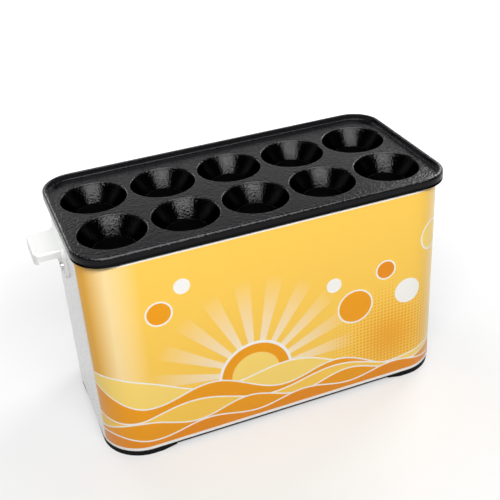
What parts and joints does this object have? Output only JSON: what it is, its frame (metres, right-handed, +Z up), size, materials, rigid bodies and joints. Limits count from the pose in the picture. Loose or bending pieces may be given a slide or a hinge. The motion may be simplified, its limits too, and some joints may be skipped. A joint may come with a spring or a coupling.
{
  "type": "egg roll maker",
  "caption": "Countertop cooker with upright cooking tubes under a black funnel plate, in a white steel body with a printed front, end handles and a thermostat.",
  "frame": {"origin": "on the surface that the feet stand on, under the middle of the machine", "axes": "+X along the machine towards the control end, -Y out of the printed front, +Z up"},
  "size_m": [0.403, 0.176, 0.22],
  "materials": {
    "nonstick_plate": "textured non-stick coating",
    "nonstick_tube": "smooth non-stick coating",
    "seal_rubber": "matte silicone",
    "shell_paint": "smooth white enamel",
    "printed_film": "glossy printed film",
    "base_plastic": "fine moulded grain",
    "foot_rubber": "matte rubber",
    "spreader_aluminium": "rolled",
    "heater_sheath": "oxidised sheath",
    "plated_steel": "zinc plated",
    "mineral_wool": "pressed mineral wool",
    "liner_steel": "aluminised sheet",
    "copper": "bare copper",
    "handle_plastic": "satin moulded white",
    "fascia_plastic": "fine moulded grain",
    "control_plastic": "satin moulded black",
    "lens_red": "clear moulded",
    "lens_green": "clear moulded",
    "pin_brass": "plated",
    "steatite": "unglazed ceramic"
  },
  "bodies": {
    "cooker": {"cooking_plate": "nonstick_plate", "plate_funnels": "nonstick_plate", "cooking_tube_01": "nonstick_tube", "cooking_tube_02": "nonstick_tube", "cooking_tube_03": "nonstick_tube", "cooking_tube_04": "nonstick_tube", "cooking_tube_05": "nonstick_tube", "cooking_tube_06": "nonstick_tube", "cooking_tube_07": "nonstick_tube", "cooking_tube_08": "nonstick_tube", "cooking_tube_09": "nonstick_tube", "cooking_tube_10": "nonstick_tube", "plate_gasket": "seal_rubber", "outer_shell": "shell_paint", "rear_panel": "shell_paint", "front_film": "printed_film", "base_pan": "base_plastic", "foot_front_left": "foot_rubber", "foot_front_right": "foot_rubber", "foot_rear_left": "foot_rubber", "foot_rear_right": "foot_rubber", "heat_spreader_upper": "spreader_aluminium", "heat_spreader_lower": "spreader_aluminium", "heater_front_upper": "heater_sheath", "heater_rear_upper": "heater_sheath", "heater_front_lower": "heater_sheath", "heater_rear_lower": "heater_sheath", "heater_clips_upper": "plated_steel", "heater_clips_lower": "plated_steel", "tie_rods": "plated_steel", "tie_rod_nuts": "plated_steel", "sleeves_bottom": "plated_steel", "sleeves_middle": "plated_steel", "sleeves_top": "plated_steel", "foot_screws": "plated_steel", "rear_panel_screws": "plated_steel", "handle_screws_left": "plated_steel", "handle_screws_right": "plated_steel", "control_plate_screws": "plated_steel", "inlet_screws": "plated_steel", "terminal_screws": "plated_steel", "overheat_cutout": "plated_steel", "thermostat": "plated_steel", "insulation_blanket": "mineral_wool", "inner_liner": "liner_steel", "sensor_bulb": "copper", "handle_left": "handle_plastic", "handle_right": "handle_plastic", "control_plate": "fascia_plastic", "switch_housing": "control_plastic", "inlet_housing": "control_plastic", "lamp_holder_power": "control_plastic", "lamp_holder_heating": "control_plastic", "lamp_lens_power": "lens_red", "lamp_lens_heating": "lens_green", "inlet_pins": "pin_brass", "terminal_block": "steatite"},
    "thermostat_control": {"thermostat_knob": "control_plastic", "thermostat_shaft": "plated_steel"},
    "rocker": {"switch_rocker": "control_plastic"}
  },
  "joints": [
    {"name": "thermostat_turn", "type": "hinge", "parent": "cooker", "child": "thermostat_control", "pos_m": [0.1771, 0, 0.11], "axis": [-1, 0, 0], "range_deg": [0, 270]},
    {"name": "rocker_tilt", "type": "hinge", "parent": "cooker", "child": "rocker", "pos_m": [0.1763, -0.021, 0.064], "axis": [0, -1, 0], "range_deg": [0, 16]}
  ]
}
